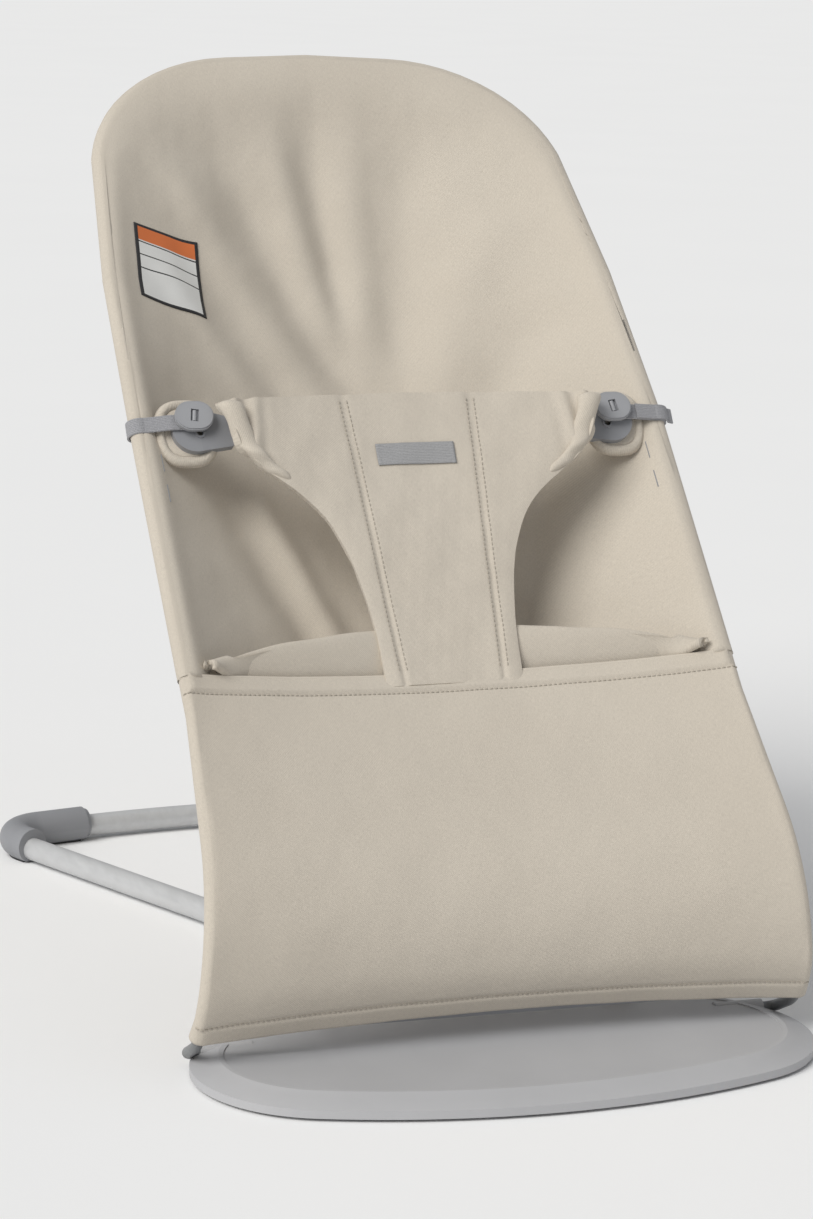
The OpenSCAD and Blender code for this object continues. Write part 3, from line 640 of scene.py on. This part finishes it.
def make_front_panel():
    """Stretched panel round the front wires, with its hems, their stitches and the top edge's roll."""
    turns = 1 + np.linspace(0.02, 0.34, 11)
    u = np.concatenate([-turns[::-1], np.linspace(-1, 1, 101), turns])
    run = np.concatenate([np.arange(PANEL_FOOT, PANEL_FOOT + 24, 1.2),
                          np.linspace(PANEL_FOOT + 24, PANEL_LEN - 24, 80),
                          np.arange(PANEL_LEN - 22.8, PANEL_LEN + 0.1, 1.2)])
    U, R = np.meshgrid(u, run, indexing="ij")
    P = panel_point(U, R)
    rise = 6.0 * (1 - np.clip(U, -1, 1) ** 2) * smooth((R - PANEL_LEN + 60) / 60)
    P[..., 1] += rise * RAIL_T[0]
    P[..., 2] += rise * RAIL_T[1]
    obj = sheet_object("front_panel_cover", P, cloth, PANEL_THICK)
    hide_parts("front_panel")
    n = normals(P)
    sign = 1 if n[len(u) // 2, len(run) // 2][1] < 0 else -1
    keep = np.abs(u) <= 1.12
    rows = (("hem_stitches_top", PANEL_LEN - HEM_DEPTH), ("hem_stitches_bottom", PANEL_FOOT + HEM_DEPTH + 1))
    for name, at in rows:
        j = int(np.argmin(np.abs(run - at)))
        stitch_row(name, P[keep, j] + sign * 0.5 * n[keep, j], sign * n[keep, j], 3.2)
    # folded lip along the top edge
    top = P[:, -1]
    tube_object("hem_roll", top[keep] + np.array([0, 1.0, -0.8]), 1.5, cloth, 10)


make_front_panel()


# ---------------------------------------------------------------- seat pouch
def pouch_point(u, w):
    """Padded seat that swells up behind the hem, w from the hem to the sling's foot."""
    u, w = np.broadcast_arrays(np.asarray(u, float), np.asarray(w, float))
    reach = np.minimum(np.abs(u), 1.0)
    x = u * POUCH_HALF
    hem_y = HEM_Y + HEM_FORWARD * (1 - u * u)
    hem_z = HEM_Z - HEM_DROP * (1 - u * u)
    lift = (24 + 22 * (1 - reach ** 2)) * np.sqrt(np.maximum(0, 1 - (reach / 0.985) ** 5))
    lift = lift + ripple(u * 160, w * 60, 90, 1.6, 4)
    back = 9 + 22 * np.exp(-(x / 62) ** 2) + 10 * (1 - reach)
    foot = sling_point(u, np.full(u.shape, SLING_BOTTOM + 6.0), 1.0)
    a = np.stack([hem_y + 1, hem_z - 14], -1)
    b = np.stack([hem_y + back * 0.35, hem_z + lift * 1.02], -1)
    c = np.stack([hem_y + back + 12 * (1 - reach), hem_z + lift * 1.05], -1)
    d = foot[..., 1:]
    e = d - np.stack([14 * (1 - reach ** 2), -4 * (1 - reach ** 2)], -1)
    w = w[..., None]
    k = [(1 - w) ** 4, 4 * w * (1 - w) ** 3, 6 * w ** 2 * (1 - w) ** 2, 4 * w ** 3 * (1 - w), w ** 4]
    p = k[0] * a + k[1] * b + k[2] * c + k[3] * e + k[4] * d
    return np.concatenate([x[..., None], p], -1)


def make_pouch():
    """Seat cushion behind the front panel's hem."""
    u = np.linspace(-1, 1, 111)
    u = np.sign(u) * (1 - (1 - np.abs(u)) ** 1.5)
    w = np.linspace(0, 1, 60)
    U, W = np.meshgrid(u, w, indexing="ij")
    P = pouch_point(U, W)
    # the pouch wears the darker twill copy, a painted shade
    obj = sheet_object("seat_pouch_cover", P, cloth_painted_shade, POUCH_THICK)
    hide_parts("seat_pouch")


make_pouch()


# ---------------------------------------------------------------- restraint bib
BIB_HALF = ([0, 0.15, 0.30, 0.42, 0.55, 0.64, 0.72, 0.80, 1.0], [45, 46, 50, 55, 65, 78, 97, 114, 127])


def bib_half(v):
    """Half-width of the bib at v, with its outline's corners softened."""
    v = np.asarray(v, float)
    return sum(np.interp(v + d, *BIB_HALF) for d in (-0.04, -0.02, 0, 0.02, 0.04)) / 5


def bib_point(u, v, lift=0.0):
    """Outside of the bib; v runs from the crotch to the top edge."""
    u, v = np.broadcast_arrays(np.asarray(u, float), np.asarray(v, float))
    x = u * bib_half(v)
    y = BIB_FOOT[0] + BIB_RISE[0] * v - BIB_CURVE * (x / 130) ** 2
    z = BIB_FOOT[1] + BIB_RISE[1] * v
    seam = SEAM_FOOT + SEAM_SPREAD * v
    groove = -1.1 * np.exp(-((np.abs(x) - seam) / 2.0) ** 2)
    puff = 1.8 * (1 - np.abs(u) ** 8) + ripple(x, z, 70, 0.8, 6) + ripple(x, z, 30, 0.35, 9)
    wing = smooth((np.abs(x) - 88) / 34) * smooth((v - 0.62) / 0.2)
    folds = wing * (2.4 * np.sin(np.abs(x) * 0.42 + v * 9) + 1.5)
    out = puff + groove + folds + lift
    return np.stack([x, y, z], -1) + out[..., None] * BIB_FACING


def make_bib():
    """Padded bib with two stitched seams down its middle."""
    u = np.linspace(-1, 1, 121)
    u = np.sign(u) * (1 - (1 - np.abs(u)) ** 1.3)
    v = np.linspace(-0.05, 1, 110)
    U, V = np.meshgrid(u, v, indexing="ij")
    P = bib_point(U, V)
    obj = sheet_object("bib_cover", P, cloth, BIB_THICK)
    bevel = obj.modifiers.new("edge", "BEVEL")
    bevel.width = 1.9 * MM
    bevel.segments = 4
    bevel.limit_method = "ANGLE"
    bevel.angle_limit = math.radians(50)
    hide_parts("restraint_bib")
    vs = np.linspace(0.0, 0.985, 120)
    for side, label in ((-1, "left"), (1, "right")):
        for k, gap in enumerate((2.6, -2.6)):
            x = side * (SEAM_FOOT + SEAM_SPREAD * vs + gap)
            line = bib_point(x / bib_half(vs), vs, 0.35)
            stitch_row(f"bib_stitches_{label}_{k + 1}", line, np.tile(BIB_FACING, (len(vs), 1)), 3.3, 0.36)


make_bib()


def make_bib_wings():
    """Thick folded ends of the bib's top corners, turned forward over the padded tabs."""
    nu, nv = 40, 36
    t = np.linspace(0, 1, nu)
    a = np.linspace(0, 2 * math.pi, nv, endpoint=False)
    for side, label in ((-1, "left"), (1, "right")):
        verts = []
        for q in t:
            v = 1.0 - 0.30 * q
            mid = bib_point(np.array(side * (1 - 5 / bib_half(v))), np.array(v), -1.0)
            fat = 5.6 - 1.9 * q + 0.5 * math.sin(q * 20)
            wide = 8.0 - 2.5 * q + 0.5 * math.sin(q * 15 + 1)
            taper = 1.0
            if q < 0.06:
                taper = math.sqrt(q / 0.06 + 0.02)
            if q > 0.9:
                taper = math.sqrt(max(0.02, (1 - q) / 0.1))
            for w in a:
                across = np.array([side * wide * taper * math.cos(w), 0, 0])
                verts.append(mid + across + fat * taper * math.sin(w) * BIB_FACING)
        uv = [(k * 1.1, i * 1.2) for i in range(nu) for k in range(nv)]
        add_object(f"bib_fold_{label}", verts, ring_faces(nu, nv), cloth, uv)


make_bib_wings()


def make_tag():
    """Blank woven tag near the top of the bib."""
    u = np.linspace(-1, 1, 41)
    v = TAG_V + TAG_DV * np.linspace(0, 1, 17)
    U, V = np.meshgrid(u, v, indexing="ij")
    P = bib_point(U * TAG_HALF / bib_half(V), V, 0.8)
    P[..., 2] += 0.6
    obj = sheet_object("bib_woven_tag", P, tag_cloth, 0.7, slot="webbing")
    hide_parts("bib_tag")


make_tag()


# ---------------------------------------------------------------- care label, left blank
def make_label():
    """Blank patch with a dark border, an orange band and three thin lines."""
    nu, nv = 41, 61
    border, band, lines = 2, 14, (nv - 16, nv - 27, nv - 38)
    u = np.linspace(*LABEL_U, nu)
    s = np.linspace(*LABEL_S, nv)
    U, Sg = np.meshgrid(u, s, indexing="ij")
    P = sling_point(U, Sg, 0.7)
    obj = sheet_object("care_label", P, label_white, 0.6, slot="label")
    obj.data.materials.append(label_black)
    obj.data.materials.append(label_orange)
    k = 0
    for i in range(nu - 1):
        for j in range(nv - 1):
            if i < border or i > nu - 2 - border or j < border or j > nv - 2 - border or j in lines:
                obj.data.polygons[k].material_index = 1
            elif j >= nv - band:
                obj.data.polygons[k].material_index = 2
            k += 1
    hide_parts("side_label")


make_label()


# ---------------------------------------------------------------- fasteners
def fastener_frame(side):
    """Matrix from the fastener's own millimetre frame to the row frame's millimetres."""
    c, s = math.cos(FASTENER_TILT), math.sin(FASTENER_TILT)
    m = np.array([[1, 0, 0], [0, c, -s], [0, s, c]], float)
    return lambda p: (np.asarray(p, float) @ m.T + FASTENER) * np.array([side, 1, 1])


def make_tab(side, label):
    """Piped tab behind the fastener: a rounded pad with a raised rim and a groove inside it."""
    place = fastener_frame(side)
    nr, na = 26, 72
    verts, uv = [], []
    for i in range(nr):
        r = i / (nr - 1)
        for k in range(na):
            a = 2 * math.pi * k / na
            ca, sa = math.cos(a), math.sin(a)
            x = 3.5 + 18.5 * r * math.copysign(abs(ca) ** 0.72, ca)
            y = -6.5 + 21.5 * r * math.copysign(abs(sa) ** 0.78, sa)
            rim = 2.6 * math.exp(-((r - 0.93) / 0.065) ** 2) - 0.9 * math.exp(-((r - 0.80) / 0.04) ** 2)
            z = -10.8 + rim + 0.8 * (1 - r * r)
            if r > 0.93:
                z -= 26 * (r - 0.93) ** 1.0
            verts.append(place((x, y, z)))
            uv.append((x, y))
    faces = ring_faces(nr, na, capped=False)
    if side < 0:
        faces = [f[::-1] for f in faces]
    obj = add_object(f"tab_cover_{label}", verts, faces, cloth, uv)
    solid = obj.modifiers.new("thickness", "SOLIDIFY")
    solid.thickness = 2.2 * MM
    solid.offset = -1.0
    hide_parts(f"{label}_padded_tab")


def ribbon(name, side, path, thick):
    """A flat strap whose middle line lies in the fastener's x-z plane."""
    place = fastener_frame(side)
    line, run = rounded([(p[0], p[1]) for p in path], [0] + [p[2] for p in path[1:-1]] + [0], 0.8)
    t = tangents(line)
    n = np.stack([-t[:, 1], t[:, 0]], 1)
    section = [(-0.5, 0.0), (-0.47, 0.5), (0.47, 0.5), (0.5, 0.0), (0.47, -0.5), (-0.47, -0.5)]
    verts, uv = [], []
    for p, d, r in zip(line, n, run):
        for k, (a, b) in enumerate(section):
            q = p + d * b * thick
            verts.append(place((q[0], STRAP_Y + a * STRAP_WIDTH, q[1])))
            uv.append((r, a * STRAP_WIDTH))
    faces = ring_faces(len(line), len(section))
    if side < 0:
        faces = [f[::-1] for f in faces]
    return add_object(name, verts, faces, webbing, uv, slot="webbing", smooth_faces=False)


def loop_arc(radius, start, end, count):
    """Path points round the side rail, angles in degrees."""
    return [tuple(LOOP + radius * np.array([math.cos(a), math.sin(a)])) + (0,)
            for a in np.radians(np.linspace(start, end, count))]


def make_strap(side, label):
    """Elastic strap from under the button round the side rail; the right one has a folded end."""
    path = [(3.4, -1.7, 0), (15, -1.9, 12), (24.5, -4.0, 8)] + loop_arc(LOOP_R, 104, -150, 26)
    obj = ribbon(f"strap_{label}", side, path, STRAP_THICK)
    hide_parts(f"{label}_elastic_strap")
    if side > 0:
        flap = [(17, -0.8, 0), (25, -2.2, 8)] + loop_arc(FOLD_R, 100, 20, 9)
        ribbon("strap_right_fold", side, flap + [(LOOP[0] + 12.5, LOOP[1] + 1.5, 0)], 1.3)


for side, label in ((-1, "left"), (1, "right")):
    make_tab(side, label)
    make_strap(side, label)


# ---------------------------------------------------------------- studio
def make_floor():
    """A wide pale paper floor."""
    verts = [(-60, -60, 0), (60, -60, 0), (60, 60, 0), (-60, 60, 0)]
    mesh = bpy.data.meshes.new("floor")
    mesh.from_pydata(verts, [], [(0, 1, 2, 3)])
    obj = bpy.data.objects.new("floor", mesh)
    bpy.context.scene.collection.objects.link(obj)
    n = Nodes("floor_paper")
    coord = n.new("ShaderNodeTexCoord")
    n.link(n.ramp(n.noise(coord.outputs["Object"], 2.0), [(0.3, (0.90,) * 3), (0.7, (0.91,) * 3)]),
           n.b.inputs["Base Color"])
    n.principled(Roughness=1.0, Specular_IOR_Level=0.0)
    mesh.materials.append(n.m)


def make_sun(name, towards, angle, strength, colour):
    """Distant light that stands towards a direction; a wide angle gives soft shadows."""
    data = bpy.data.lights.new(name, "SUN")
    data.angle = math.radians(angle)
    data.energy = strength
    data.color = colour
    obj = bpy.data.objects.new(name, data)
    bpy.context.scene.collection.objects.link(obj)
    obj.rotation_euler = Vector(towards).to_track_quat("Z", "Y").to_euler()


def make_world():
    """Soft surround light, with the floor's own tone behind the floor's edge."""
    world = bpy.data.worlds.new("studio")
    world.use_nodes = True
    tree = world.node_tree
    surround = tree.nodes["Background"]
    surround.inputs[0].default_value = (0.95, 0.97, 1.0, 1)
    surround.inputs[1].default_value = 0.40
    seen = tree.nodes.new("ShaderNodeBackground")
    seen.inputs[0].default_value = (0.80, 0.80, 0.80, 1)
    path = tree.nodes.new("ShaderNodeLightPath")
    mix = tree.nodes.new("ShaderNodeMixShader")
    tree.links.new(path.outputs["Is Camera Ray"], mix.inputs[0])
    tree.links.new(surround.outputs[0], mix.inputs[1])
    tree.links.new(seen.outputs[0], mix.inputs[2])
    tree.links.new(mix.outputs[0], tree.nodes["World Output"].inputs[0])
    bpy.context.scene.world = world


make_floor()
make_sun("key", (-0.68, -0.36, 0.68), 38, 2.45, (1.0, 0.985, 0.955))
make_world()
bpy.context.scene.view_settings.view_transform = "Standard"


# ---------------------------------------------------------------- camera
def make_camera():
    """Camera at the photographer's place, with a long lens."""
    azimuth, pitch, roll = math.radians(18.39), math.radians(11.51), math.radians(1.39)
    level = math.cos(pitch)
    look = Vector((math.sin(azimuth) * level, math.cos(azimuth) * level, -math.sin(pitch)))
    right = look.cross(Vector((0, 0, 1))).normalized()
    up = right.cross(look)
    cam_right = right * math.cos(roll) + up * math.sin(roll)
    cam_up = up * math.cos(roll) - right * math.sin(roll)
    data = bpy.data.cameras.new("camera")
    data.sensor_fit = "AUTO"
    data.sensor_width = 36
    data.lens = 3500 * 36 / 1219
    obj = bpy.data.objects.new("camera", data)
    m = Matrix((cam_right, cam_up, -look)).transposed().to_4x4()
    m.translation = Vector((-0.699, -1.8898, 0.686))
    obj.matrix_world = m
    bpy.context.scene.collection.objects.link(obj)
    bpy.context.scene.camera = obj


make_camera()
